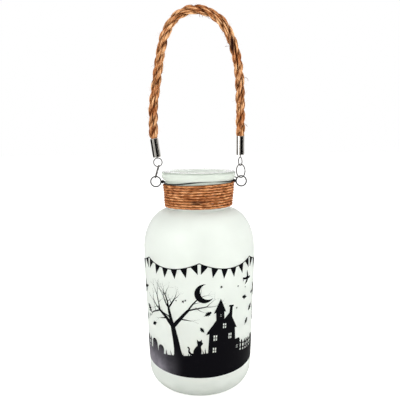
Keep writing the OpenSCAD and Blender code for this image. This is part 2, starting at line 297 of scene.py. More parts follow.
def sweep(name, runs, sides):
    """One mesh of round tubes. A run is a dict with its path and radius, and where it matters
    closed, lay (shift of the pattern along it) and depth (how much painted shade each point
    takes, 0 to 1)."""
    verts, faces, lay, depth = [], [], [], []
    for run in runs:
        path, closed = run["path"], run.get("closed", False)
        radii = run["radius"] if isinstance(run["radius"], list) else [run["radius"]] * len(path)
        first, length = len(verts), run.get("lay", 0.0)
        for i, (point, (_, side, up)) in enumerate(zip(path, axes_along(path, closed))):
            length += (point - path[i - 1]).length if i else 0
            for k in range(sides):
                turn = 2 * math.pi * k / sides
                verts.append(point + around(side, up, turn) * radii[i])
                lay.append((radii[i] * math.cos(turn), radii[i] * math.sin(turn), length))
                depth.append(run["depth"](i, verts[-1]) if "depth" in run else 0.0)
        rings = len(path) if closed else len(path) - 1
        for i in range(rings):
            a, b = first + i * sides, first + (i + 1) % len(path) * sides
            for k in range(sides):
                m = (k + 1) % sides
                faces.append((a + k, a + m, b + m, b + k))
        if not closed:
            faces.append(tuple(first + k for k in reversed(range(sides))))
            faces.append(tuple(first + (len(path) - 1) * sides + k for k in range(sides)))
    mesh = bpy.data.meshes.new(name)
    mesh.from_pydata(verts, [], faces)
    mesh.attributes.new("lay", "FLOAT_VECTOR", "POINT").data.foreach_set(
        "vector", [value for triple in lay for value in triple])
    mesh.attributes.new("depth", "FLOAT", "POINT").data.foreach_set("value", depth)
    mesh.shade_smooth()
    return link(name, mesh)


def piece(obj, body, slot, *nodes):
    """Sets a finished piece on its body and hides the nodes that it stands for."""
    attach(obj, body)
    if nodes:
        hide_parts(*nodes)


# ---------------------------------------------------------------- camera

CAMERA_PLACE = Vector((1.0, -450.0, 229.0)) * MM
CAMERA_PITCH = math.radians(9.5)
CAMERA_ROLL = math.radians(-0.52)
FOCAL_LENGTH = 45.3
SENSOR_WIDTH = 36.0
SHIFT_UP = 0.05


class LANTERN_OT_camera(bpy.types.Operator):
    """Sets the camera a little above the rim, in front of the lantern"""
    bl_idname = "lantern.camera"
    bl_label = "Camera"

    def execute(self, context):
        data = bpy.data.cameras.new("view_camera")
        data.lens = FOCAL_LENGTH
        data.sensor_width = SENSOR_WIDTH
        data.shift_y = SHIFT_UP
        data.clip_start = 0.01
        data.clip_end = 20
        camera = link("view_camera", data)
        camera.matrix_world = (Matrix.Translation(CAMERA_PLACE)
                               @ Matrix.Rotation(math.pi / 2 - CAMERA_PITCH, 4, "X")
                               @ Matrix.Rotation(CAMERA_ROLL, 4, "Z"))
        context.scene.camera = camera
        return {"FINISHED"}


# ---------------------------------------------------------------- jute

# Jute's fibres are long, so their streaks are stretched along the yarn.
FIBRE_STRETCH = (1, 1, 0.09)
# Darkest and lightest cast of the patches: the twine is a little darker and redder than the rope.
ROPE_TONE = ("#C9A184", "#FFFFFF")
TWINE_TONE = ("#BC8A6C", "#FAE0CF")
# Dark spots of painted shade where the rope's strands open on a gap and where the twine's end
# tucks under: centre, scale along X, Y and Z (per metre), and strength.
ROPE_GAP_SHADE = (Vector((29.6, -3.6, 304.5)) * MM, (450, 300, 115), 0.95)
TWINE_TUCK_SHADE = (Vector((-2.0, -31.5, 173.2)) * MM, (170, 250, 520), 0.75)


def shade_spotted(tree, place, base, shade_spot):
    """A colour with a soft dark spot of painted shade in it."""
    centre, scale, strength = shade_spot
    away = add_node(tree, "VectorMath", {0: place, 1: centre}, operation="SUBTRACT")
    shrunk = add_node(tree, "VectorMath", {0: away, 1: scale}, operation="MULTIPLY")
    reach = add_node(tree, "VectorMath", {0: shrunk}, "Value", operation="LENGTH")
    spot = add_node(tree, "MapRange", {"Value": reach, "From Min": 0.55, "From Max": 1.25,
                                       "To Min": strength, "To Max": 0.0})
    return add_node(tree, "Mix", {"Factor": spot, UNDER: base, OVER: linear("#240D0C")},
                    **COLOUR_MIX)


def jute_material(name, colours, fibre_mm, yarn_mm, shade_spot=None, tone=ROPE_TONE):
    """Jute: coarse bast fibres, retted and spun, so the yarn is matt and streaked along its length
    from straw to brown. Shade is painted on it where strands lie against each other, and in a
    spot where one is given."""
    material, tree, place = new_material(name)
    lay = add_node(tree, "Attribute", output="Vector", attribute_name="lay")
    shade_share = add_node(tree, "Attribute", output="Fac", attribute_name="depth")
    streak = blobs(tree, lay, fibre_mm, 3, 0.65, FIBRE_STRETCH)
    patch = blobs(tree, place, yarn_mm * 3, 2, 0.55)
    fibre = add_node(tree, "ValToRGB", {"Fac": streak}, stops=[
        (0.37, colours.jute_dark), (0.48, colours.jute_mid), (0.60, colours.jute_light)])
    cast = add_node(tree, "ValToRGB", {"Fac": patch}, stops=[
        (0.36, linear(tone[0])), (0.62, linear(tone[1]))])
    base = add_node(tree, "Mix", {"Factor": 0.8, UNDER: fibre, OVER: cast},
                    blend_type="MULTIPLY", **COLOUR_MIX)
    # Painted shade: the fibre darkens towards the dark jute where strands and turns lie close, as far
    # as each point's depth says.
    dark = add_node(tree, "Mix", {"Factor": 0.9, UNDER: base, OVER: colours.jute_dark}, **COLOUR_MIX)
    shaded = add_node(tree, "Mix", {"Factor": shade_share, UNDER: base, OVER: dark}, **COLOUR_MIX)
    if shade_spot:
        shaded = shade_spotted(tree, place, shaded, shade_spot)
    return finish_material(material, tree, {
        "Base Color": shaded, "Roughness": 0.82, "IOR": 1.45, "Specular IOR Level": 0.04},
        relief=(streak, 0.25, 0.7))


def stray_fibres(name, anchors, count, seed, reach_mm, thick_mm):
    """Loose fibres that stand off a surface. Each anchor is (place, outward, along)."""
    chance = random.Random(seed)
    runs = []
    for _ in range(count):
        place, out, along = chance.choice(anchors)
        long = chance.uniform(0.35, 1.0) * reach_mm * MM
        heading = (along * chance.choice((-1, 1)) + out * chance.uniform(0.25, 0.9)).normalized()
        sway = Vector([chance.uniform(-0.4, 0.4) for _ in range(3)])
        path = [place + heading * long * t + (sway + out * 0.5) * long * t * t * 0.5
                for t in (0, 0.3, 0.65, 1)]
        runs.append({"path": path, "radius": [thick_mm * MM * s for s in (1, 0.9, 0.7, 0.2)],
                     "lay": chance.random()})
    return sweep(name, runs, 3)


# ---------------------------------------------------------------- rope handle

# Middle line of the rope, from one ferrule to the other, as [x, z].
ROPE_ROUTE = [(-36.91, 212.49), (-38.93, 226.87), (-39.15, 228.45), (-39.31, 240.42),
              (-38.58, 257.48), (-36.21, 272.43), (-33.62, 288.5), (-30.48, 304.44),
              (-26.51, 316.42), (-20.02, 326.43), (-11.0, 332.92), (0.0, 334.47), (11.0, 331.93),
              (20.02, 325.45), (27.01, 315.44), (31.52, 303.45), (34.99, 289.49), (36.6, 273.42),
              (37.02, 257.48), (37.21, 242.54), (37.26, 230.07), (37.26, 228.47), (37.26, 214.17)]
FERRULE_BORE = 6.2
# Length over which the rope swells to its full size above a ferrule.
ROPE_SWELL = 2.5
STRANDS = 3
YARN_LAY = 15.5
# Where strands and yarns lie, and how thick a yarn is, in shares of the rope's radius. A strand
# is pressed a little wider than it is deep.
STRAND_OUT, YARN_OUT, YARN_R, STRAND_WIDE = 0.49, 0.3, 0.225, 1.12
# Unevenness as (size, length of one radian of its wave): strands and yarns waver from an even
# twist, in radians, and yarns swell by a share of their thickness.
STRAND_WAVER, YARN_WAVER, YARN_SWELL = (0.16, 23), (0.35, 9), (0.08, 5)
# Share of the rope's radius at which the shade between strands starts, and the share over which
# it deepens inwards.
SHADE_FROM, SHADE_OVER = 0.97, 0.42
# Directions around the rope in which a loose fibre can start.
FIBRE_SIDES = 12
# Points at each end of the rope that grow no loose fibres.
BARE_ENDS = 14

# Coarse hairs that stand out of the rope, as [x, y, z].
ROPE_HAIRS = [
    [(28.2, -2.5, 304.4), (26.2, -3.0, 304.1), (23.6, -3.2, 303.6)],
    [(27.6, -2.4, 305.6), (26.4, -3.4, 306.4), (25.0, -3.6, 306.6)],
    [(39.6, -1.5, 278.6), (41.8, -2.0, 278.2), (43.2, -2.2, 277.0), (43.6, -2.0, 275.2)],
    [(2.2, -2.6, 330.9), (2.0, -3.0, 329.0), (2.6, -3.0, 327.6)],
    [(3.9, -2.6, 330.7), (4.6, -3.2, 328.8), (4.4, -3.2, 327.4)],
    [(9.0, -2.6, 328.6), (9.6, -3.2, 327.0), (10.8, -3.2, 326.2)],
    [(-37.4, -2.0, 251.0), (-41.4, -2.8, 251.8), (-43.4, -2.6, 253.4)],
    [(38.5, -2.0, 240.0), (41.6, -2.6, 238.6), (43.2, -2.4, 236.4)]]


def rope_shares(path, full):
    """Share of the rope's full diameter at each point: it is pinched inside the ferrules."""
    mouth = min(box_high("left_ferrule").z, box_high("right_ferrule").z) / MM
    shares = []
    for point in path:
        grown = min(1, max(0, (point.z / MM - mouth) / ROPE_SWELL))
        shares.append((FERRULE_BORE + (full - FERRULE_BORE) * math.sin(grown * math.pi / 2)) / full)
    return shares


def rope_runs(path, axes, sizes):
    """The yarns of all strands, each twisted in its strand while the strand twists in the rope."""
    full, lay_mm = sizes.rope_d / 2, sizes.rope_lay / MM
    shares = rope_shares(path, sizes.rope_d / MM)
    step = (path[1] - path[0]).length
    chance = random.Random(7)

    # Painted shade between strands: the deeper a point lies in the rope, the darker.
    def depth(i, vertex):
        far = (vertex - path[i]).length / (full * shares[i])
        return min(1, max(0, (SHADE_FROM - far) / SHADE_OVER))
    runs = []
    for strand in range(STRANDS):
        for yarn in range(sizes.rope_yarns):
            line, radii = [], []
            phases = [chance.uniform(0, 6.3) for _ in range(2)]
            for i, (point, (_, side, up)) in enumerate(zip(path, axes)):
                along = i * step / MM
                lay = (2 * math.pi * (strand / STRANDS + along / lay_mm)
                       + uneven(STRAND_WAVER, along, phases[0]))
                twist = (2 * math.pi * (yarn / sizes.rope_yarns - along / YARN_LAY)
                         + uneven(YARN_WAVER, along, phases[1]))
                offset = (around(side, up, lay) * (STRAND_OUT + YARN_OUT * math.cos(twist))
                          + around(up, -side, lay) * YARN_OUT * STRAND_WIDE * math.sin(twist))
                line.append(point + offset * full * shares[i])
                radii.append(YARN_R * full * shares[i] * (1 + uneven(YARN_SWELL, along, phases[1])))
            runs.append({"path": line, "radius": radii, "lay": chance.random(), "depth": depth})
    return runs


class LANTERN_OT_rope(bpy.types.Operator):
    """Lays three twisted strands of jute yarn along the handle"""
    bl_idname = "lantern.rope"
    bl_label = "Rope handle"

    def execute(self, context):
        sizes, colours = context.scene.lantern_sizes, context.scene.lantern_colours
        path = spline_points([Vector((x, 0, z)) * MM for x, z in ROPE_ROUTE], 1.3 * MM)
        axes = axes_along(path)
        rope = sweep("rope_handle_strands", rope_runs(path, axes, sizes), 7)
        dress(rope, jute_material("jute_rope_three_strand_laid", colours, 0.75, 3.0, ROPE_GAP_SHADE))
        piece(rope, "handle", "jute_rope", "rope_handle")

        anchors = []
        for i in range(BARE_ENDS, len(path) - BARE_ENDS):
            tangent, side, up = axes[i]
            for k in range(FIBRE_SIDES):
                out = around(side, up, 2 * math.pi * k / FIBRE_SIDES)
                anchors.append((path[i] + out * sizes.rope_d / 2 * 0.9, out, tangent))
        fuzz = stray_fibres("rope_handle_fibres", anchors, sizes.rope_fibres, 11, 4.5, 0.055)
        hairs = sweep("rope_handle_hairs", [
            {"path": [Vector(place) * MM for place in hair], "radius": 0.16 * MM,
             "depth": lambda i, vertex: 0.85} for hair in ROPE_HAIRS], 5)
        select_only(fuzz)
        hairs.select_set(True)
        bpy.ops.object.join()
        dress(fuzz, jute_material("jute_fibre_loose", colours, 2.0, 6.0))
        piece(fuzz, "handle", "jute_rope")
        return {"FINISHED"}


# ---------------------------------------------------------------- glass jar

JAR_TOP = box_high("glass_jar").z / MM
JAR_WIDEST = box_high("glass_jar").x / MM
HEEL_X, HEEL_R = 27.1, 20.0
WIDEST_Z = 112.0
SHOULDER_X, SHOULDER_Z, SHOULDER_H = 26.0, 130.0, 35.0
NECK_FOOT_R, NECK_FOOT_Z = 27.8, 165.0
NECK_TOP_R, NECK_TOP_Z = 29.6, 190.2
RIM_R, RIM_ROUND = 32.7, 1.5
BORE_R = 25.0
WALL = 3.0
FLOOR = 5.0
FOOT_W, FOOT_HOLLOW = 3.0, 1.5
JAR_STEPS = 144

# Height up to which the thick glass of the heel shows its tint.
HEEL_TINT_TOP = 25
# The collar outside the bore is thicker and a little greener; below it is a band of painted
# shade under the rim and the neck wire, and a thin grey line of painted shade follows the lip's
# round edge: lower and upper height, inner radius, and tint.
COLLAR_BANDS = [(184.5, 191.5, 26.2, "#DCE4D9"), (190.8, 197.2, 26.2, "#E9F0E6"),
                (196.3, 198.3, 30.5, "#B4BDB2")]
BAND_BLUR, COLLAR_BLUR = 0.7, 1.0
# The lip was melted smooth in a flame: where it turns smooth, and where its top turns white,
# which is painted light.
LIP_SMOOTH, LIP_PAINTED_LIGHT = (196.5, 198.0), (197.8, 198.4)


def jar_radius(z):
    """Outer radius of the body at a height between the heel and the shoulder."""
    share = min(1, max(0, (z - HEEL_R) / (WIDEST_Z - HEEL_R)))
    return HEEL_X + HEEL_R + (JAR_WIDEST - HEEL_X - HEEL_R) * share


def neck_radius(z):
    """Outer radius of the neck at a height."""
    share = (z - NECK_FOOT_Z) / (NECK_TOP_Z - NECK_FOOT_Z)
    return NECK_FOOT_R + (NECK_TOP_R - NECK_FOOT_R) * share


def jar_outline():
    """The jar's wall as (radius, height), up the outside and down the inside."""
    reach = JAR_WIDEST - SHOULDER_X
    neck_angle = math.degrees(math.acos((NECK_FOOT_R - SHOULDER_X) / reach))
    foot = HEEL_X - FOOT_W
    lip_z = JAR_TOP - RIM_ROUND
    outside = [(0, FOOT_HOLLOW), (foot - 2 * FOOT_HOLLOW, FOOT_HOLLOW), (foot - 0.4, 0.15), (foot, 0)]
    outside += arc(HEEL_X, HEEL_R, HEEL_R, HEEL_R, -90, 0, 22)
    outside += [(jar_radius(z), z) for z in (30, 45, 60, 75, 90, 104)]
    outside += [(JAR_WIDEST - 0.03, WIDEST_Z - 3), (JAR_WIDEST, WIDEST_Z + 3)]
    outside += arc(SHOULDER_X, SHOULDER_Z, reach, SHOULDER_H, 0, neck_angle - 4, 26)
    outside += [(NECK_FOOT_R + 0.25, NECK_FOOT_Z + 0.9)]
    outside += [(neck_radius(z), z) for z in (168, 176, 184, 188.5)]
    outside += [(NECK_TOP_R + 0.2, NECK_TOP_Z - 0.1), (RIM_R - 1.4, NECK_TOP_Z + 0.9),
                (RIM_R - 0.35, NECK_TOP_Z + 2.2), (RIM_R, NECK_TOP_Z + 3.8)]
    outside += arc(RIM_R - RIM_ROUND, lip_z, RIM_ROUND, RIM_ROUND, 0, 90, 8)
    inner = HEEL_R - WALL
    inside = arc(BORE_R + RIM_ROUND, lip_z, RIM_ROUND, RIM_ROUND, 90, 180, 8)
    inside += [(BORE_R, z) for z in (188, 176, SHOULDER_Z + SHOULDER_H)]
    inside += arc(SHOULDER_X, SHOULDER_Z, reach - WALL, SHOULDER_H - WALL, 84, 0, 24)
    inside += [(JAR_WIDEST - WALL, WIDEST_Z)] + [(jar_radius(z) - WALL, z) for z in (90, 60, 36)]
    inside += arc(HEEL_X, FLOOR + inner, inner, inner, 0, -90, 18)
    inside += [(0, FLOOR)]
    return outside + inside


def region(tree, *edges):
    """1 inside all edges and 0 outside any. An edge is a value with the lengths, in millimetres,
    between which it goes from outside to inside."""
    share = 1.0
    for value, outside, inside in edges:
        passed = add_node(tree, "MapRange", {"Value": value, "From Min": outside * MM,
                                             "From Max": inside * MM})
        share = add_node(tree, "Math", {0: share, 1: passed}, operation="MULTIPLY")
    return share


def glass_tint_and_painted_light(tree, place, height, colours):
    """Pale sea glass, greener where it is thick: in streaks at the heel, and in the collar. Painted
    shade under the rim and along the lip's edge, and painted light on top of the lip.
    """
    tint = add_node(tree, "ValToRGB", {"Fac": blobs(tree, place, 24)}, stops=[
        (0.35, linear("#F2F6F1")), (0.65, colours.glass)])
    low = region(tree, (height, HEEL_TINT_TOP, 0))
    thick = add_node(tree, "MapRange", {"Value": blobs(tree, place, 15, stretch=(1, 1, 2.6)),
                                        "From Min": 0.38, "From Max": 0.62,
                                        "To Min": 0.4, "To Max": 1.1})
    heel = add_node(tree, "Math", {0: low, 1: thick}, operation="MULTIPLY")
    tint = add_node(tree, "Mix", {"Factor": heel, UNDER: tint, OVER: linear("#DBE1D9")},
                    **COLOUR_MIX)
    level = add_node(tree, "VectorMath", {0: place, 1: (1, 1, 0)}, operation="MULTIPLY")
    reach = add_node(tree, "VectorMath", {0: level}, "Value", operation="LENGTH")
    # The collar's bands: the rim's tint, and painted shade under the rim and along the lip's edge.
    for low, high, near, shade in COLLAR_BANDS:
        band = region(tree, (height, low, low + BAND_BLUR), (height, high, high - BAND_BLUR),
                      (reach, near, near + COLLAR_BLUR))
        tint = add_node(tree, "Mix", {"Factor": band, UNDER: tint, OVER: linear(shade)},
                        **COLOUR_MIX)
    # Painted light: the top of the lip turns white.
    lip_light = region(tree, (height, *LIP_PAINTED_LIGHT))
    return add_node(tree, "Mix", {"Factor": lip_light, UNDER: tint, OVER: (1, 1, 1)},
                    **COLOUR_MIX)


def etched_glass(colours):
    """Soda-lime glass, blown in a mould and dipped in acid: the etched skin scatters light, so it
    looks milky and soft-edged, with slow ripples from the mould."""
    material, tree, place = new_material("soda_lime_glass_acid_etched")
    height = add_node(tree, "SeparateXYZ", {"Vector": place}, "Z")
    # Etching is a fine matt grain; it is drawn at 0.6 mm, coarser than the real one, to show.
    grain = blobs(tree, place, 0.6, 2, 0.6)
    ripple = blobs(tree, place, 7, 1, stretch=(1, 1, 2.2))
    soft = add_node(tree, "Bump", {"Height": grain, "Distance": 0.012 * MM, "Strength": 0.5})
    waves = add_node(tree, "Bump", {"Height": ripple, "Distance": 0.25 * MM, "Strength": 0.4,
                                    "Normal": soft})
    matt = add_node(tree, "MapRange", {"Value": grain, "To Min": 0.42, "To Max": 0.52})
    rough = add_node(tree, "MapRange", {
        "Value": height, "From Min": LIP_SMOOTH[0] * MM, "From Max": LIP_SMOOTH[1] * MM,
        "To Min": matt, "To Max": 0.16})
    return finish_material(material, tree, {
        "Base Color": glass_tint_and_painted_light(tree, place, height, colours), "Roughness": rough, "IOR": 1.5,
        "Normal": waves, "Transmission Weight": 0.6, "Specular IOR Level": 0.4})


class LANTERN_OT_jar(bpy.types.Operator):
    """Turns the glass jar on the lathe, with its rim, shoulder, heel and hollow foot"""
    bl_idname = "lantern.jar"
    bl_label = "Glass jar"

    def execute(self, context):
        jar = lathe("jar_glass", jar_outline(), JAR_STEPS)
        smooth_by_angle(jar, 40)
        dress(jar, etched_glass(context.scene.lantern_colours))
        piece(jar, "jar", "frosted_glass", "glass_jar")
        return {"FINISHED"}


# ---------------------------------------------------------------- screen print

# The print is drawn flat, as (distance around the jar, height), and bent around the glass.
PRINT_R = 48.5
PRINT_TOP = 127.0
GIRTH = 2 * math.pi * PRINT_R
# How much higher the print's lower edge is at the sides than at the front.
FOOT_RISE = 5.0
# Width of the strips that the flat print is cut into, so that it can bend.
FACET = 2.2
# The ink stands this much off the glass, and overlapping shapes this much above each other, so
# that no two faces coincide.
LIFT, LAYER, LAYERS = 0.02, 0.004, 12
# The ink thins from one place to the other around the left side, and down between two heights.
THIN_FROM_X, THIN_TO_X, THINNEST = -12, -50, 1.5
THIN_Z = (52, 30)

# A crooked house: its outline, and its windows as (left, foot, width, height).
HOUSE = [(-12, -6), (-11.3, 17), (-13.6, 16.2), (-12.8, 18.4), (-6.3, 27.6), (-6.7, 33.6),
         (-8.4, 33.0), (-3.4, 44.5), (1.4, 33.9), (-0.1, 34.1), (0.3, 28.2), (4.5, 32.6),
         (4.8, 37.2), (3.9, 37.2), (4.0, 38.6), (8.2, 38.2), (8.0, 36.9), (7.2, 36.9), (7.1, 29.0),
         (12.4, 19.4), (10.5, 19.9), (11.3, 10.0), (15.6, 10.4), (17.2, 7.8), (16.0, 7.9), (16.2, -6)]
HOUSE_WINDOWS = [(-8.2, 11.2, 3.4, 4.8), (-0.9, 20.5, 3.2, 4.4), (4.3, 11.4, 3.4, 4.8),
                 (-8.4, 1.6, 3.2, 4.4), (-3.5, 29.8, 1.7, 2.6), (12.5, 2.0, 2.2, 3.2)]
HOUSE_S, HOUSE_SCALE, HOUSE_LEAN = 20, 1.12, -2
WINDOW_BAR = 0.28

# A seated cat, seen from the side.
CAT = [(-4.2, -1), (-4.6, 1.6), (-3.6, 5.6), (-1.4, 8.4), (-0.6, 9.6), (-1.1, 12.2), (-0.9, 15.0),
       (0.5, 13.5), (2.0, 13.6), (3.3, 15.1), (3.5, 12.4), (4.4, 11.0), (3.4, 9.6), (2.7, 8.6),
       (3.1, 4.4), (3.2, 0.6), (4.2, 0.2), (4.2, -1)]
CAT_CORNERS = {0, 6, 9, 17}
CAT_TAIL = [(-3.8, 0.4), (-6.6, 0.9), (-8.4, 3.2), (-8.2, 6.0), (-9.6, 7.6)]
CAT_TAIL_WIDTHS = [1.8, 1.7, 1.5, 1.3, 0.7]
CAT_S, CAT_SCALE = -1.5, 0.95

# A raven in flight, 14 mm from beak to tail.
RAVEN = [(7.2, 0.9), (5.2, 2.0), (3.7, 1.6), (2.6, 1.8), (-0.6, 8.2), (-1.0, 5.2), (-0.2, 2.3),
         (-2.6, 1.2), (-6.8, 1.7), (-7.0, -0.5), (-2.6, -0.9), (-0.5, -1.1), (-3.2, -5.6),
         (0.5, -3.8), (2.3, -0.8), (4.6, -0.4)]
RAVEN_CORNERS = {0, 3, 4, 6, 8, 9, 11, 12, 14}

# A lobed leaf on its stalk, 12 mm long.
LEAF = [(-0.3, -6.6), (-0.3, -4.3), (-1.7, -3.7), (-1.3, -2.2), (-3.1, -1.6), (-2.1, -0.1),
        (-3.2, 1.5), (-1.8, 2.2), (-1.7, 4.0), (0, 5.3), (1.7, 4.0), (1.8, 2.2), (3.2, 1.5),
        (2.1, -0.1), (3.1, -1.6), (1.3, -2.2), (1.7, -3.7), (0.3, -4.3), (0.3, -6.6)]
LEAF_CORNERS = {0, 1, 17, 18}

# Places of the ravens, leaves and moon, as (around, height, scale, lean).
RAVENS = [(-61, 97, 0.95, 12), (47, 107, 0.9, -6), (63, 93, 1.0, 16), (122, 98, 1.1, 8),
          (-124, 96, 1.0, 12)]
LEAVES = [(-54, 79, 0.85, 48), (-64, 68, 0.7, -30), (-46, 67, 0.6, 118), (7, 82, 0.6, -62),
          (2, 68, 0.5, 35), (55, 79, 0.75, 128), (48, 68, 0.6, -38), (66, 74, 0.65, 20),
          (44, 91, 0.6, 75), (110, 84, 0.7, 60), (140, 78, 0.8, -20), (-140, 84, 0.8, 30),
          (-112, 76, 0.6, -70), (96, 106, 0.7, 140)]
MOON = (4, 100, 1.0, 26)
# Gravestones as (around, half width, height, lean), and fences as (first, last).
STONES = [(-47, 4.2, 10, 4), (-38.5, 3.6, 7.5, -7), (96, 4.4, 10, 5), (106, 3.8, 8, -6),
          (-118, 4.2, 9, -4)]
FENCES = [(38, 66), (-84, -56), (112, 142)]
PICKET_GAP, PICKET_H, RAIL_W, RAILS = 4.0, 10.5, 1.1, (2.6, 6.6)
# Trees as (around, trunk's width, trunk's length, heading, seed).
TREES = [(-19, 7.4, 30, 96, 3), (82, 4.2, 18, 84, 5), (-98, 4.8, 20, 95, 8)]
# Bunting: swags around the jar, how far they drop, their cord, and the pennants in each.
SWAGS, SWAG_DROP, SWAG_CORD, PENNANTS = 6, 6.0, 0.8, 6
PENNANT = [(-3.1, 0.2), (3.1, 0.2), (0, -8.2)]
# How trees grow, in degrees: the bend of the trunk and of a branch, the wobble of one step, and
# the angle and unevenness of forks. Then the steps of a branch, the level of the last twigs, and
# the share of its width that a branch or a twig loses along its length.
TRUNK_BEND, BRANCH_BEND, WOBBLE = 8, 26, 7
TRUNK_FORK, FORK, FORK_UNEVEN = 40, 44, 10
BRANCH_STEPS, TWIGS = 6, 4
TAPER, TWIG_TAPER = 0.42, 0.9
STARS = 34
BLADES = 90


def hill(s):
    """Height of the ground's upper edge at a distance around the jar."""
    a = s / PRINT_R
    return (40.5 + 4.0 * math.cos(a + 0.3) + 2.0 * math.sin(2 * a + 0.6)
            + 0.9 * math.sin(5 * a + 1) + 0.4 * math.sin(11 * a))


def placed(points, s, z, scale=1.0, lean=0.0):
    """Points moved to (s, z), scaled and leaned by degrees."""
    c, d = math.cos(math.radians(lean)), math.sin(math.radians(lean))
    return [(s + scale * (x * c - y * d), z + scale * (x * d + y * c)) for x, y in points]


def ribbon(line, widths):
    """The outline of a strip that follows a line of points with a width at each."""
    left, right = [], []
    for i, (x, y) in enumerate(line):
        x0, y0 = line[max(i - 1, 0)]
        x1, y1 = line[min(i + 1, len(line) - 1)]
        long = math.hypot(x1 - x0, y1 - y0) or 1
        nx, ny = -(y1 - y0) / long, (x1 - x0) / long
        half = widths[i] / 2
        left.append((x + nx * half, y + ny * half))
        right.append((x - nx * half, y - ny * half))
    return left + right[::-1]


def branches(s, z, width, length, heading, chance, level=0):
    """Outlines of a bare branch and all that grow from it; level 0 is the trunk."""
    bend = chance.uniform(-BRANCH_BEND, BRANCH_BEND) if level else TRUNK_BEND
    taper = TAPER if level < TWIGS - 1 else TWIG_TAPER
    line, widths, x, y, angle = [(s, z)], [width], s, z, heading
    for i in range(BRANCH_STEPS):
        angle += bend / BRANCH_STEPS + chance.uniform(-WOBBLE, WOBBLE) * (1 if level else 0.4)
        x += length / BRANCH_STEPS * math.cos(math.radians(angle))
        y += length / BRANCH_STEPS * math.sin(math.radians(angle))
        line.append((x, y))
        widths.append(width * (1 - taper * (i + 1) / BRANCH_STEPS))
    if not level:
        widths[0] *= 1.75
        widths[1] *= 1.15
    shapes = [ribbon(line, widths)]
    if level < TWIGS:
        tines = chance.choice((2, 2, 3)) if level else 3
        for k in range(tines):
            spread = (k - (tines - 1) / 2) * (FORK if level else TRUNK_FORK)
            turned = angle + spread + chance.uniform(-FORK_UNEVEN, FORK_UNEVEN)
            share = chance.uniform(0.62, 0.8) if level else 0.86
            shapes += branches(x, y, widths[-1] * share, length * chance.uniform(0.55, 0.74), turned,
                               chance, level + 1)
        if level in (1, 2):
            shapes += branches(*line[BRANCH_STEPS // 2], width * 0.4, length * 0.5,
                               heading + chance.choice((-60, 60)), chance, TWIGS - 1)
    return shapes


def crescent(outer_r, inner_r, offset):
    """A moon: a disc with a smaller one, set off to the right, taken out of it."""
    meet_x = (outer_r ** 2 - inner_r ** 2 + offset ** 2) / (2 * offset)
    outer_end = math.degrees(math.acos(meet_x / outer_r))
    inner_end = math.degrees(math.acos((meet_x - offset) / inner_r))
    return (arc(0, 0, outer_r, outer_r, outer_end, 360 - outer_end, 28)
            + arc(offset, 0, inner_r, inner_r, 360 - inner_end, inner_end, 22)[1:-1])


def star(s, z, r, lean):
    """A star with five points."""
    points = []
    for k in range(10):
        reach, turn = (r if k % 2 else 0.42 * r), math.radians(36 * k + lean)
        points.append((s + reach * math.sin(turn), z + reach * math.cos(turn)))
    return points


def bunting():
    """Pennants on a cord that hangs in six even swags around the jar."""
    shapes = []
    span = GIRTH / SWAGS

    def cord_z(s):
        share = (s / span) % 1
        return PRINT_TOP - 1.2 - SWAG_DROP * 4 * share * (1 - share)
    for swag in range(SWAGS):
        start = -GIRTH / 2 + swag * span
        line = [(start + span * i / 14, cord_z(start + span * i / 14)) for i in range(15)]
        shapes.append(ribbon(line, [SWAG_CORD] * 15))
        for k in range(PENNANTS):
            s = start + span * (k + 0.5) / PENNANTS
            slope = math.degrees(math.atan2(cord_z(s + 1) - cord_z(s - 1), 2))
            shapes.append(placed(PENNANT, s, cord_z(s), 1, slope))
    return shapes


def fence(first, last, chance):
    """Pointed pickets on two rails, along the ground."""
    shapes = []
    for i in range(int((last - first) / PICKET_GAP) + 1):
        s = first + i * PICKET_GAP
        tall = PICKET_H + chance.uniform(-1, 1)
        picket = [(-1.1, -5), (-1.1, tall - 2), (0, tall), (1.1, tall - 2), (1.1, -5)]
        shapes.append(placed(picket, s, hill(s), 1, chance.uniform(-5, 5)))
    for height in RAILS:
        places = [first - 2 + (last - first + 4) * i / 8 for i in range(9)]
        shapes.append(ribbon([(s, hill(s) + height) for s in places], [RAIL_W] * 9))
    return shapes


def ground(foot):
    """The dark band that everything stands on, from the print's lower edge up to the hill."""
    count = 140
    low, top = [], []
    for i in range(count + 1):
        s = -GIRTH / 2 + GIRTH * i / count
        turned = min(math.pi / 2, abs(2 * math.pi * s / GIRTH))
        low.append((s, foot + FOOT_RISE * (1 - math.cos(turned))))
        top.append((s, hill(s)))
    return low + top[::-1]


def house():
    """The house, then the panes of its windows as holes."""
    loops = [HOUSE]
    for x, y, w, h in HOUSE_WINDOWS:
        for x0 in (x + WINDOW_BAR, x + w / 2 + WINDOW_BAR):
            for y0 in (y + WINDOW_BAR, y + h / 2 + WINDOW_BAR):
                x1, y1 = x0 + w / 2 - 2 * WINDOW_BAR, y0 + h / 2 - 2 * WINDOW_BAR
                loops.append([(x0, y0), (x0, y1), (x1, y1), (x1, y0)])
    place = (HOUSE_S, hill(HOUSE_S) - 0.5, HOUSE_SCALE, HOUSE_LEAN)
    return [placed(loop, *place) for loop in loops]


def gravestone(s, half, tall, lean):
    slab = [(-half, -4), (-half, tall - half)] + arc(0, tall - half, half, half, 180, 0, 8)
    return placed(slab + [(half, -4)], s, hill(s), 1, lean)


def blade(chance):
    """A blade of grass somewhere on the hill."""
    s = chance.uniform(-GIRTH / 2 + 3, GIRTH / 2 - 3)
    tall, lean = chance.uniform(2.5, 6), chance.uniform(-1.6, 1.6)
    return placed([(-0.55, 0), (lean * 0.3 - 0.3, tall * 0.5), (lean, tall),
                   (lean * 0.3 + 0.3, tall * 0.5), (0.55, 0)], s, hill(s) - 0.8)


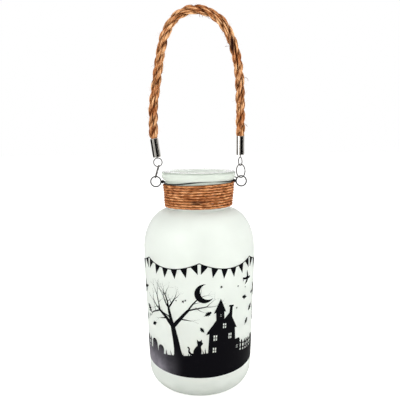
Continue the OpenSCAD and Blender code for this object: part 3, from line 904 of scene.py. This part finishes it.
def print_shapes(foot):
    """Every shape of the print, as ([outline, holes...], corner indices or None for straight)."""
    chance = random.Random(31)
    cat_place = (CAT_S, hill(CAT_S) - 0.5, CAT_SCALE)
    straight = []
    for s, width, length, heading, seed in TREES:
        straight += branches(s, hill(s) - 4, width, length, heading, random.Random(seed))
    shapes = [([ground(foot)], None), (house(), None)] + [([loop], None) for loop in straight]
    shapes += [([placed(CAT, *cat_place)], CAT_CORNERS),
               ([placed(ribbon(CAT_TAIL, CAT_TAIL_WIDTHS), *cat_place)], set())]
    straight = [gravestone(*stone) for stone in STONES]
    for first, last in FENCES:
        straight += fence(first, last, chance)
    shapes += [([loop], None) for loop in straight]
    for motif, corners, places in ((RAVEN, RAVEN_CORNERS, RAVENS), (LEAF, LEAF_CORNERS, LEAVES)):
        shapes += [([placed(motif, *place)], corners) for place in places]
    straight = [placed(crescent(8.2, 6.9, 3.6), *MOON)] + bunting()
    for _ in range(STARS):
        s, z = chance.uniform(-GIRTH / 2, GIRTH / 2), chance.uniform(58, 108)
        straight.append(star(s, z, chance.choice((0.8, 1.1, 1.5)), chance.uniform(0, 72)))
    straight += [blade(chance) for _ in range(BLADES)]
    return shapes + [([loop], None) for loop in straight]


def flat_shape(loops, corners):
    """A filled flat curve; its first loop is smooth away from its corners when they are given."""
    data = bpy.data.curves.new("print_shape", "CURVE")
    data.dimensions = "2D"
    data.fill_mode = "BOTH"
    data.resolution_u = 4
    for order, loop in enumerate(loops):
        smooth = corners is not None and order == 0
        spline = data.splines.new("BEZIER" if smooth else "POLY")
        spline.use_cyclic_u = True
        points = spline.bezier_points if smooth else spline.points
        points.add(len(loop) - 1)
        for i, (point, (x, y)) in enumerate(zip(points, loop)):
            if smooth:
                point.co = (x * MM, y * MM, 0)
                point.handle_left_type = "VECTOR" if i in corners else "AUTO"
                point.handle_right_type = point.handle_left_type
            else:
                point.co = (x * MM, y * MM, 0, 1)
    return link("print_shape", data)


def screen_ink(colours):
    """Ceramic screen-print ink, baked on in one thin coat: near-black with a violet cast, a soft
    gloss, and thinner, greyer cover low on the left."""
    material, tree, place = new_material("ceramic_ink_screen_printed")
    cover = blobs(tree, place, 16, 3, 0.6)
    speck = blobs(tree, place, 0.7, 2, 0.7)
    ink = add_node(tree, "ValToRGB", {"Fac": speck}, stops=[
        (0.32, linear("#08080B")), (0.7, colours.ink)])
    across = add_node(tree, "SeparateXYZ", {"Vector": place}, "X")
    height = add_node(tree, "SeparateXYZ", {"Vector": place}, "Z")
    left = add_node(tree, "MapRange", {"Value": across, "From Min": THIN_FROM_X * MM,
                                       "From Max": THIN_TO_X * MM, "To Max": THINNEST},
                    interpolation_type="SMOOTHERSTEP")
    low = region(tree, (height, *THIN_Z))
    corner = add_node(tree, "Math", {0: left, 1: low}, operation="MULTIPLY")
    thin = add_node(tree, "Math", {0: corner, 1: cover}, operation="MULTIPLY")
    ink = add_node(tree, "Mix", {"Factor": thin, UNDER: ink, OVER: linear("#8E8A93")}, **COLOUR_MIX)
    rough = add_node(tree, "MapRange", {"Value": cover, "To Min": 0.42, "To Max": 0.58})
    return finish_material(material, tree, {
        "Base Color": ink, "Roughness": rough, "IOR": 1.5, "Specular IOR Level": 0.02},
        relief=(speck, 0.02, 0.4))


class LANTERN_OT_print(bpy.types.Operator):
    """Lays the night-garden screen print around the jar"""
    bl_idname = "lantern.screen_print"
    bl_label = "Screen print"

    def execute(self, context):
        sizes = context.scene.lantern_sizes
        bpy.ops.object.select_all(action="DESELECT")
        parts = [flat_shape(*shape) for shape in print_shapes(sizes.print_foot / MM)]
        for part in parts:
            part.select_set(True)
        ink = context.view_layer.objects.active = parts[0]
        bpy.ops.object.convert(target="MESH")
        for order, part in enumerate(parts):
            for vertex in part.data.vertices:
                vertex.co.z = LAYER * (order % LAYERS) * MM
        bpy.ops.object.join()
        ink.name = ink.data.name = "jar_screen_print"

        bpy.ops.object.mode_set(mode="EDIT")
        cuts = int(GIRTH / FACET)
        for i in range(1, cuts):
            bpy.ops.mesh.select_all(action="SELECT")
            bpy.ops.mesh.bisect(plane_co=((-GIRTH / 2 + GIRTH * i / cuts) * MM, 0, 0),
                                plane_no=(1, 0, 0))
        bpy.ops.object.mode_set(mode="OBJECT")
        for vertex in ink.data.vertices:
            s, z = vertex.co.x / MM, vertex.co.y / MM
            angle, radius = s / PRINT_R, jar_radius(z) + LIFT + vertex.co.z / MM
            vertex.co = Vector((radius * math.sin(angle), -radius * math.cos(angle), z)) * MM
        select_only(ink)
        coat = ink.modifiers.new("Coat of ink", "SOLIDIFY")
        coat.thickness, coat.offset = sizes.ink, 1
        bpy.ops.object.modifier_apply(modifier=coat.name)
        close_shell(ink)
        smooth_by_angle(ink, 30)
        dress(ink, screen_ink(context.scene.lantern_colours))
        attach(ink, "jar")
        return {"FINISHED"}


# ---------------------------------------------------------------- twine collar

TWINE_FOOT = 167.2
TWINE_TURNS = 9
TWINE_STEPS = 170
TWINE_START = math.radians(96)
# Slope at which the top turn rises to the right. The lower a turn lies, the less it slopes.
TWINE_TILT = 0.016
TWINE_PLIES = 2
# Where a ply lies and how thick it is, and the same for the core, which is painted all in
# shade, in shares of the radius.
PLY_OUT, PLY_R = 0.21, 0.79
CORE_IN, CORE_R = 0.25, 0.94
# The tucked end at the front: degrees right of the middle, height, and how far it stands out.
TWINE_TAIL = [(-5, 174.4, -0.9), (-3, 174.0, 0.2), (1, 173.3, 1.5), (7, 172.7, 1.9),
              (13, 172.6, 1.6), (18, 173.0, 0.6), (22, 173.4, -0.6)]
TAIL_OFF_NECK = 1.3
# How far the line lies off the neck, then how far it wavers out and up and with how many waves to
# a turn. A ply swells by a share of its thickness.
TWINE_OFF_NECK, WAVER_OUT, WAVES_OUT, WAVER_UP, WAVES_UP = 0.12, 0.12, 3.1, 0.07, 2.3
PLY_SWELL = (0.05, 4.3)
# The shade between turns: how far from a turn's middle it starts, over what it deepens, and how
# much lower than the turn its middle is, in shares of the radius.
GROOVE_FROM, GROOVE_OVER, GROOVE_DROP = 0.46, 0.38, 0.12


def turned_place(angle, radius, z):
    """A place at an angle to the right of the front."""
    return Vector((radius * math.sin(angle), -radius * math.cos(angle), z)) * MM


def outward(point):
    """The level direction from the Z axis to a point."""
    return Vector((point.x, point.y, 0)).normalized()


def twine_line(sizes, phases):
    """The middle line of the wound twine, a helix that wavers a little."""
    half, pitch = sizes.twine_d / 2 / MM, sizes.twine_pitch / MM
    line = []
    for i in range(TWINE_TURNS * TWINE_STEPS + 1):
        turns = i / TWINE_STEPS
        angle = TWINE_START + 2 * math.pi * turns
        rise = TWINE_FOOT + half + pitch * (turns - 0.5)
        waver = WAVER_OUT * math.sin(WAVES_OUT * angle + phases[0])
        radius = neck_radius(rise) + half + TWINE_OFF_NECK + waver
        x, y = radius * math.cos(angle), radius * math.sin(angle)
        z = rise + TWINE_TILT * turns / TWINE_TURNS * x
        z += WAVER_UP * math.sin(WAVES_UP * angle + phases[1])
        line.append(Vector((x, y, z)) * MM)
    return line


def twine_runs(line, sizes, chance):
    """Two plies twisted about a line, with a core, painted all in shade, that closes the gaps
    between turns.
    """
    half = sizes.twine_d / 2

    # Painted shade between turns, darkest at the groove.
    def depth(i, vertex):
        across = abs((vertex - line[i]).z + GROOVE_DROP * half) / half
        return min(1, max(0, (across - GROOVE_FROM) / GROOVE_OVER))
    core = [point - outward(point) * CORE_IN * half for point in line]
    # The core takes the full painted shade.
    runs = [{"path": core, "radius": CORE_R * half, "depth": lambda i, vertex: 1.0}]
    for ply in range(TWINE_PLIES):
        phase = chance.uniform(0, 6.3)
        path, radii, length = [], [], 0.0
        for i, (point, (_, side, up)) in enumerate(zip(line, axes_along(line))):
            length += (point - line[i - 1]).length if i else 0
            turn = 2 * math.pi * (ply / TWINE_PLIES + length / sizes.twine_lay)
            path.append(point + around(side, up, turn) * PLY_OUT * half)
            radii.append(PLY_R * half * (1 + uneven(PLY_SWELL, length / MM, phase)))
        runs.append({"path": path, "radius": radii, "lay": chance.random(), "depth": depth})
    return runs


class LANTERN_OT_twine(bpy.types.Operator):
    """Winds two-ply jute twine around the neck"""
    bl_idname = "lantern.twine"
    bl_label = "Neck twine"

    def execute(self, context):
        sizes, colours = context.scene.lantern_sizes, context.scene.lantern_colours
        chance = random.Random(5)
        line = twine_line(sizes, [chance.uniform(0, 6.3) for _ in range(4)])
        tail = [turned_place(math.radians(degrees), neck_radius(z) + TAIL_OFF_NECK + out, z)
                for degrees, z, out in TWINE_TAIL]
        runs = twine_runs(line, sizes, chance)
        runs += twine_runs(spline_points(tail, 0.6 * MM), sizes, chance)
        twine = sweep("neck_twine_wound", runs, 10)
        dress(twine, jute_material("jute_twine_two_ply", colours, 0.5, 2.0, TWINE_TUCK_SHADE, TWINE_TONE))
        piece(twine, "jar", "jute_twine", "neck_twine")

        axes = axes_along(line)
        anchors = []
        for i in range(0, len(line), 3):
            out = outward(line[i])
            anchors.append((line[i] + out * sizes.twine_d / 2 * 0.9, out, axes[i][0]))
        fuzz = stray_fibres("neck_twine_fibres", anchors, sizes.twine_fibres, 23, 3.2, 0.05)
        dress(fuzz, jute_material("jute_fibre_twine", colours, 2.0, 6.0))
        piece(fuzz, "jar", "jute_twine")
        return {"FINISHED"}


# ---------------------------------------------------------------- neck wire

WIRE_Z = 188.92
WIRE_SLOPE = math.radians(1.2)
# The ring is pushed up at the front, most of all a little right of the middle.
WIRE_LIFT, WIRE_LIFT_X = 1.9, 9.0
EYE_X, EYE_R = 38.2, 4.55
RIGHT_EYE_TURN = math.radians(-10)
# Radius and length of the twist between the ring and an eye, and the wire wrapped around it.
TWIST_R, TWIST_LAY = 0.5, 2.2
WRAP_R, WRAP_PITCH, WRAP_TURNS = 1.15, 1.05, 1.9
# How far short of the middle line of an eye its knot ends, and the ring's room around the neck.
KNOT_GAP, RING_ROOM = 0.5, 0.15
# The wire's spare end: a small loop behind the right knot, clear of the ring's swing.
SPARE_LOOP = Vector((32.8, 1.1, WIRE_Z + 1.9))
SPARE_LOOP_R = 1.5


def steel_wire(colours):
    """Mild steel wire, drawn and annealed: a dull black skin of oxide that hides the metal."""
    material, tree, place = new_material("mild_steel_wire_annealed")
    scale = blobs(tree, place, 1.6, 3, 0.6)
    tint = add_node(tree, "ValToRGB", {"Fac": scale}, stops=[
        (0.35, linear("#100F0F")), (0.7, colours.wire)])
    rough = add_node(tree, "MapRange", {"Value": scale, "To Min": 0.55, "To Max": 0.38})
    return finish_material(material, tree, {
        "Base Color": tint, "Roughness": rough, "Specular IOR Level": 0.2},
        relief=(scale, 0.03, 0.4))


def helix(centre, axis, radius, pitch, turns, first=0.0, steps=14):
    """Points of a helix around an axis that starts at centre, from sizes in millimetres."""
    axis = axis.normalized()
    side = axis.orthogonal().normalized()
    up = axis.cross(side)
    return [(centre + axis * pitch * i / steps
             + around(side, up, first + 2 * math.pi * i / steps) * radius) * MM
            for i in range(int(turns * steps) + 1)]


def neck_ring(ring_r):
    """The wire's ring, which slopes up to the right."""
    ring = []
    for i in range(120):
        a = 2 * math.pi * i / 120
        x, y = ring_r * math.cos(a), ring_r * math.sin(a)
        front = max(0, -math.sin(a))
        lift = WIRE_LIFT * front * math.cos((x - WIRE_LIFT_X) / ring_r * 1.9)
        ring.append(Vector((x, y, WIRE_Z + x * math.tan(WIRE_SLOPE) + lift)) * MM)
    return ring


def eye_and_knot(side, ring_r, wire_r):
    """The runs of one eye and of the knot that holds it to the ring; side is -1 or 1."""
    turn = Matrix.Rotation(RIGHT_EYE_TURN if side > 0 else 0, 3, "Z")
    eye = []
    for i in range(48):
        a = 2 * math.pi * i / 48
        flat = Vector((EYE_R * math.cos(a), 0, EYE_R * math.sin(a)))
        eye.append((Vector((side * EYE_X, 0, WIRE_Z)) + turn @ flat) * MM)
    runs = [{"path": eye, "radius": wire_r, "closed": True}]
    inner = Vector((side * (ring_r - 0.3), 0, WIRE_Z + side * ring_r * math.tan(WIRE_SLOPE)))
    span = Vector((side * (EYE_X - EYE_R - KNOT_GAP), 0, WIRE_Z)) - inner
    for first in (0, math.pi):
        twist = helix(inner, span, TWIST_R, TWIST_LAY, span.length / TWIST_LAY, first)
        runs.append({"path": twist, "radius": wire_r * 0.9})
    wraps = helix(inner + span * 0.42, span, WRAP_R, WRAP_PITCH, WRAP_TURNS, 0.8)
    return runs + [{"path": wraps, "radius": wire_r * 0.85}]


def spare_loop():
    """Most of a turn of wire, that drifts back as it turns."""
    loop = []
    for i in range(22):
        a = math.radians(-150 + 330 * i / 21)
        turn = Vector((math.cos(a), 0.02 * i, math.sin(a))) * SPARE_LOOP_R
        loop.append((SPARE_LOOP + turn) * MM)
    return loop


class LANTERN_OT_wire(bpy.types.Operator):
    """Bends the neck wire: a ring under the rim with a twisted eye at each side"""
    bl_idname = "lantern.wire"
    bl_label = "Neck wire"

    def execute(self, context):
        wire_r = context.scene.lantern_sizes.wire_d / 2
        ring_r = neck_radius(WIRE_Z) + wire_r / MM + RING_ROOM
        runs = [{"path": neck_ring(ring_r), "radius": wire_r, "closed": True}]
        for side in (-1, 1):
            runs += eye_and_knot(side, ring_r, wire_r)
        runs.append({"path": spare_loop(), "radius": wire_r * 0.9})
        wire = sweep("neck_wire_bent", runs, 10)
        dress(wire, steel_wire(context.scene.lantern_colours))
        piece(wire, "jar", "steel_wire", "neck_wire")
        return {"FINISHED"}


# ---------------------------------------------------------------- fittings and tea light finishes

def nickel(name, bright, dull, rough, wear_mm):
    """Nickel electroplated on steel: a faintly warm mirror, duller where it has been rubbed."""
    material, tree, place = new_material(name)
    rub = blobs(tree, place, wear_mm, 3, 0.6)
    tint = add_node(tree, "ValToRGB", {"Fac": rub}, stops=[(0.3, dull), (0.6, bright)])
    shine = add_node(tree, "MapRange", {"Value": rub, "From Min": 0.3, "From Max": 0.7,
                                        "To Min": rough * 1.5, "To Max": rough})
    return finish_material(material, tree, {
        "Base Color": tint, "Metallic": 1.0, "Roughness": shine}, relief=(rub, 0.008, 0.3))


def moulded(name, base, rough, scatter=0.0):
    """Injection-moulded plastic: even colour with a faint flow pattern and a fine spark grain."""
    material, tree, place = new_material(name)
    tint = add_node(tree, "ValToRGB", {"Fac": blobs(tree, place, 6)}, stops=[
        (0.3, darker(base, 0.93)), (0.7, base)])
    return finish_material(material, tree, {
        "Base Color": tint, "Roughness": rough, "IOR": 1.49, "Subsurface Weight": scatter,
        "Subsurface Radius": (0.004, 0.003, 0.002), "Subsurface Scale": 1.0},
        relief=(blobs(tree, place, 0.35, 2, 0.6), 0.01, 0.4))


def clear_plastic(name, base, rough, glow):
    """Translucent plastic, milky and soft, that passes the light from inside; that light is
    painted on it as a faint warm glow.
    """
    material, tree, place = new_material(name)
    tint = add_node(tree, "ValToRGB", {"Fac": blobs(tree, place, 3)}, stops=[
        (0.3, darker(base, 0.95)), (0.7, base)])
    return finish_material(material, tree, {
        "Base Color": tint, "Roughness": rough, "IOR": 1.49, "Transmission Weight": 0.5,
        "Emission Color": linear("#FFD89A"), "Emission Strength": glow})


def sheet_metal(name, base, rough, stretch):
    """Rolled or drawn sheet metal, with faint lines along its rolling direction."""
    material, tree, place = new_material(name)
    lines = blobs(tree, place, 0.3, 2, 0.6, stretch)
    tint = add_node(tree, "ValToRGB", {"Fac": lines}, stops=[
        (0.3, darker(base, 0.85)), (0.7, base)])
    return finish_material(material, tree, {
        "Base Color": tint, "Metallic": 1.0, "Roughness": rough}, relief=(lines, 0.006, 0.4))


class LANTERN_OT_fittings(bpy.types.Operator):
    """Finishes the jump rings, eye pins and ferrules in nickel"""
    bl_idname = "lantern.fittings"
    bl_label = "Handle fittings"

    def execute(self, context):
        bright = context.scene.lantern_colours.nickel
        wire = nickel("nickel_plated_steel_wire", linear("#6E6B69"), linear("#434140"), 0.24, 1.2)
        tube = nickel("nickel_plated_steel_tube", bright, linear("#A9A59E"), 0.07, 3.0)
        for side in ("left", "right"):
            for part, finish in (("jump_ring", wire), ("eye_pin", wire), ("ferrule", tube)):
                dress(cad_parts[f"{side}_{part}"], finish)
        return {"FINISHED"}


class LANTERN_OT_tea_light(bpy.types.Operator):
    """Finishes the battery tea light that stands in the jar"""
    bl_idname = "lantern.tea_light"
    bl_label = "Tea light"

    def execute(self, context):
        ivory = moulded("polypropylene_ivory_moulded", context.scene.lantern_colours.candle, 0.42, 0.1)
        white = moulded("abs_white_moulded", linear("#DEDCD6"), 0.5)
        black = moulded("abs_black_moulded", linear("#1B1B1C"), 0.45)
        sleeve = moulded("pvc_sleeve_extruded", linear("#9A1F18"), 0.38)
        flame = clear_plastic("polypropylene_flame_moulded", linear("#F7E9BC"), 0.35, 0.15)
        lens = clear_plastic("epoxy_diode_cast", linear("#F3EBC8"), 0.12, 0.3)
        brass = sheet_metal("spring_brass_stamped", linear("#C9A152"), 0.3, (1, 8, 8))
        steel = sheet_metal("stainless_steel_can_drawn", linear("#C4C3BF"), 0.28, (1, 1, 6))
        finishes = {
            "candle_shell": ivory, "base_plate": ivory, "battery_cap": ivory, "cell_holder": white,
            "candle_flame": flame, "flame_led": lens, "coin_cell": steel, "switch_wire": sleeve,
            "spring_contact": brass, "side_contact": brass, "slide_switch": black,
            "switch_knob": black}
        for node, material in finishes.items():
            dress(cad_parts[node], material)
        return {"FINISHED"}


# ---------------------------------------------------------------- stage

FLOOR_R = 6.0
# Lamps as (name, place, height on the lantern's axis that they are aimed at, size, watts).
LAMPS = [("lamp_left", (-1.0, -0.8, 0.55), 0.12, 0.9, 10.5),
         ("lamp_right", (1.1, -0.6, 0.5), 0.12, 0.9, 10.5),
         ("lamp_top", (0.1, 0.2, 1.4), 0.15, 1.0, 4.5)]
SKY_STRENGTH = 0.72
# Dark cards that only shiny surfaces see: a wide one that curves from behind the camera round to
# the right, and a small one at the left of the left ferrule.
WIDE_CARD_R = 1.1
WIDE_CARD_ANGLES = [math.radians(-6 + 8 * i) for i in range(13)]
CARDS = [("card_front", [(WIDE_CARD_R * math.sin(a), -WIDE_CARD_R * math.cos(a))
                         for a in WIDE_CARD_ANGLES], -0.2, 1.2),
         ("card_left", [(-0.1155, -0.0411), (-0.0737, 0.0299)], 0.196, 0.244)]


def white_board(base):
    """Painted board: matt and even. Camera rays see it a little lighter, so that it meets the
    white behind it."""
    material, tree, place = new_material("board_painted_white")
    seen = add_node(tree, "LightPath", output="Is Camera Ray")
    glow = add_node(tree, "Math", {0: seen, 1: 0.5}, operation="MULTIPLY")
    tint = add_node(tree, "ValToRGB", {"Fac": blobs(tree, place, 40, 1)}, stops=[
        (0.3, darker(base, 0.995)), (0.7, base)])
    return finish_material(material, tree, {
        "Base Color": tint, "Roughness": 0.9, "Specular IOR Level": 0.1,
        "Emission Color": (1, 1, 1), "Emission Strength": glow})


def black_card():
    """Black paper: matt, with nothing to see but its darkness."""
    material, tree, _ = new_material("card_black_paper")
    return finish_material(material, tree, {"Base Color": linear("#060606"), "Roughness": 0.9,
                                            "Specular IOR Level": 0.0})


def reflection_card(name, feet, low, high):
    """A card that stands along a line of (x, y) feet, and that only shiny surfaces see."""
    verts = [(x, y, z) for x, y in feet for z in (low, high)]
    faces = [(2 * i, 2 * i + 1, 2 * i + 3, 2 * i + 2) for i in range(len(feet) - 1)]
    mesh = bpy.data.meshes.new(name)
    mesh.from_pydata(verts, [], faces)
    card = link(name, mesh)
    card.visible_camera = card.visible_diffuse = False
    card.visible_transmission = card.visible_shadow = False
    return card


def soft_lamp(name, place, aim_z, size_m, power):
    """A round area lamp, turned to a height on the lantern's axis."""
    data = bpy.data.lights.new(name, "AREA")
    data.shape = "DISK"
    data.size = size_m
    data.energy = power
    lamp = link(name, data)
    lamp.location = place
    aim = Vector((0, 0, aim_z)) - Vector(place)
    lamp.rotation_euler = aim.to_track_quat("-Z", "Y").to_euler()
    lamp.visible_camera = False


def white_world():
    """Surroundings that light the lantern evenly, and that look white behind it, in its shine
    and through its glass."""
    world = bpy.data.worlds.new("white_surround")
    world.use_nodes = True
    tree = world.node_tree
    tree.nodes.clear()
    seen = 0.0
    for kind in ("Is Camera Ray", "Is Glossy Ray", "Is Transmission Ray"):
        ray = add_node(tree, "LightPath", output=kind)
        seen = add_node(tree, "Math", {0: seen, 1: ray}, operation="MAXIMUM")
    strength = add_node(tree, "MapRange", {"Value": seen, "To Min": SKY_STRENGTH, "To Max": 1.0})
    sky = add_node(tree, "Background", {"Color": (1, 1, 1), "Strength": strength})
    add_node(tree, "OutputWorld", {"Surface": sky})
    return world


class LANTERN_OT_stage(bpy.types.Operator):
    """Sets the pale floor, the white surroundings, the soft lamps and the reflection cards"""
    bl_idname = "lantern.stage"
    bl_label = "Stage"

    def execute(self, context):
        bpy.ops.object.select_all(action="DESELECT")
        bpy.ops.mesh.primitive_circle_add(vertices=96, radius=FLOOR_R, fill_type="NGON",
                                          location=(0, 0, 0))
        floor = context.active_object
        floor.name = "floor"
        dress(floor, white_board(context.scene.lantern_colours.floor))
        black = black_card()
        for card in CARDS:
            dress(reflection_card(*card), black)
        for lamp in LAMPS:
            soft_lamp(*lamp)
        context.scene.world = white_world()
        context.scene.view_settings.view_transform = "Standard"
        return {"FINISHED"}


# ---------------------------------------------------------------- panel and registration

PIECES = (LANTERN_OT_camera, LANTERN_OT_rope, LANTERN_OT_jar, LANTERN_OT_print, LANTERN_OT_twine,
          LANTERN_OT_wire, LANTERN_OT_fittings, LANTERN_OT_tea_light, LANTERN_OT_stage)


class LANTERN_PT_panel(bpy.types.Panel):
    """Lists the lantern's settings and its pieces"""
    bl_label = "Jar Lantern"
    bl_idname = "LANTERN_PT_panel"
    bl_space_type = "VIEW_3D"
    bl_region_type = "UI"
    bl_category = "Lantern"

    def draw(self, context):
        for settings in (context.scene.lantern_sizes, context.scene.lantern_colours):
            box = self.layout.box()
            for name in settings.__annotations__:
                box.prop(settings, name)
        for operator in PIECES:
            self.layout.operator(operator.bl_idname)


CLASSES = (LanternSizes, LanternColours, *PIECES, LANTERN_PT_panel)


def register():
    for cls in CLASSES:
        bpy.utils.register_class(cls)
    bpy.types.Scene.lantern_sizes = bpy.props.PointerProperty(type=LanternSizes)
    bpy.types.Scene.lantern_colours = bpy.props.PointerProperty(type=LanternColours)


def unregister():
    del bpy.types.Scene.lantern_colours
    del bpy.types.Scene.lantern_sizes
    for cls in reversed(CLASSES):
        bpy.utils.unregister_class(cls)


def main():
    register()
    bpy.ops.lantern.camera()
    bpy.ops.lantern.rope()
    bpy.ops.lantern.jar()
    bpy.ops.lantern.screen_print()
    bpy.ops.lantern.twine()
    bpy.ops.lantern.wire()
    bpy.ops.lantern.fittings()
    bpy.ops.lantern.tea_light()
    bpy.ops.lantern.stage()


if __name__ == "__main__":
    main()
